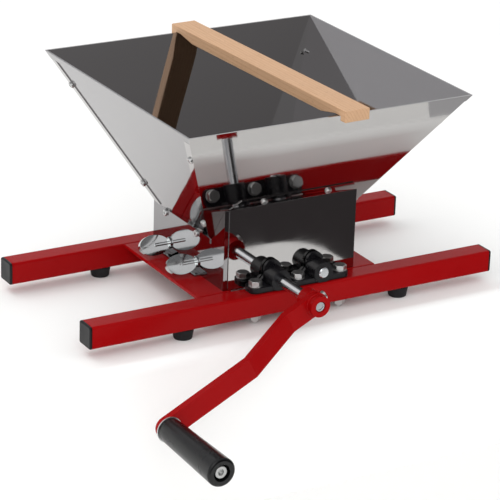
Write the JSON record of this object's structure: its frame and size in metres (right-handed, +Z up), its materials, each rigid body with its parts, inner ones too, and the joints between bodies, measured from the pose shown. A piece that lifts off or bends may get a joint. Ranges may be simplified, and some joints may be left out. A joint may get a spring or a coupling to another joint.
{
  "type": "apple scratter",
  "caption": "Hand cranked fruit crusher: flared sheet steel hopper over meshing toothed rollers on a red tube frame, with a cranked arm, rolling grip and loose wooden pusher.",
  "frame": {"origin": "centre between the two frame tubes, level with the undersides of the rubber feet", "axes": "+X along the frame tubes, to the right seen from the crank; +Y along the roller shafts, away from the crank; +Z up"},
  "size_m": [0.5, 0.4904, 0.3157],
  "materials": {
    "red_powder_coat": "glossy powder coat",
    "hopper_stainless": "polished stainless sheet",
    "black_plastic": "semi-gloss moulded plastic",
    "cap_plastic": "moulded plastic",
    "foot_rubber": "matt rubber",
    "zinc_steel": "zinc plated",
    "chrome": "bright chrome",
    "shaft_steel": "ground steel",
    "roller_aluminium": "as machined",
    "grip_plastic": "glossy",
    "beech": "bare sanded beech"
  },
  "bodies": {
    "frame": {"front_tube": "red_powder_coat", "rear_tube": "red_powder_coat", "left_cross_plate": "red_powder_coat", "right_cross_plate": "red_powder_coat", "left_clamp_tab": "red_powder_coat", "right_clamp_tab": "red_powder_coat", "hopper_front_panel": "hopper_stainless", "hopper_rear_panel": "hopper_stainless", "hopper_left_panel": "hopper_stainless", "hopper_right_panel": "hopper_stainless", "front_cover": "hopper_stainless", "rear_cover": "hopper_stainless", "left_side_panel": "hopper_stainless", "right_side_panel": "hopper_stainless", "left_chute": "hopper_stainless", "right_chute": "hopper_stainless", "left_locating_strip": "hopper_stainless", "right_locating_strip": "hopper_stainless", "front_bearing_bridge": "black_plastic", "rear_bearing_bridge": "black_plastic", "tube_end_caps": "cap_plastic", "rubber_feet": "foot_rubber", "foot_screws": "zinc_steel", "foot_nuts": "zinc_steel", "weld_nuts": "zinc_steel", "bearing_bolts": "zinc_steel", "bearing_washers": "zinc_steel", "bearing_nuts": "zinc_steel", "hopper_seam_screws": "zinc_steel", "hopper_lip_screws": "zinc_steel", "cover_screws": "zinc_steel"},
    "crank": {"drive_shaft": "shaft_steel", "drive_roller": "roller_aluminium", "drive_roller_pins": "shaft_steel", "crank_hub": "red_powder_coat", "crank_arm": "red_powder_coat", "crank_set_screw": "zinc_steel", "grip_bolt": "zinc_steel", "grip_washer": "zinc_steel", "grip_nut": "zinc_steel"},
    "idle_roller_set": {"idle_shaft": "shaft_steel", "idle_roller": "roller_aluminium", "idle_roller_pins": "shaft_steel"},
    "grip": {"crank_grip": "grip_plastic"},
    "pusher": {"wooden_pusher": "beech"},
    "left_spade_screw_front_body": {"left_spade_screw_front": "chrome"},
    "left_spade_screw_rear_body": {"left_spade_screw_rear": "chrome"},
    "right_spade_screw_front_body": {"right_spade_screw_front": "chrome"},
    "right_spade_screw_rear_body": {"right_spade_screw_rear": "chrome"}
  },
  "joints": [
    {"name": "crank_spin", "type": "hinge", "parent": "frame", "child": "crank", "pos_m": [-0.02136, 0, 0.048], "axis": [0, 1, 0], "continuous": true},
    {"name": "idle_roller_spin", "type": "hinge", "parent": "frame", "child": "idle_roller_set", "pos_m": [0.03136, 0, 0.048], "axis": [0, 1, 0], "continuous": true},
    {"name": "grip_spin", "type": "hinge", "parent": "crank", "child": "grip", "pos_m": [-0.20718, 0, -0.04546], "axis": [0, 1, 0], "continuous": true},
    {"name": "pusher_lift", "type": "slide", "parent": "frame", "child": "pusher", "axis": [0, 0, 1], "range_m": [0, 0.06]},
    {"name": "left_spade_screw_front_turn", "type": "hinge", "parent": "frame", "child": "left_spade_screw_front_body", "pos_m": [-0.08, -0.023, 0.0495], "axis": [1, 0, 0], "continuous": true},
    {"name": "left_spade_screw_rear_turn", "type": "hinge", "parent": "frame", "child": "left_spade_screw_rear_body", "pos_m": [-0.08, 0.039, 0.0495], "axis": [1, 0, 0], "continuous": true},
    {"name": "right_spade_screw_front_turn", "type": "hinge", "parent": "frame", "child": "right_spade_screw_front_body", "pos_m": [0.08, -0.023, 0.0495], "axis": [1, 0, 0], "continuous": true},
    {"name": "right_spade_screw_rear_turn", "type": "hinge", "parent": "frame", "child": "right_spade_screw_rear_body", "pos_m": [0.08, 0.039, 0.0495], "axis": [1, 0, 0], "continuous": true}
  ],
  "couplings": [
    {"joint": "idle_roller_spin", "follows": "crank_spin", "ratio": -1}
  ]
}
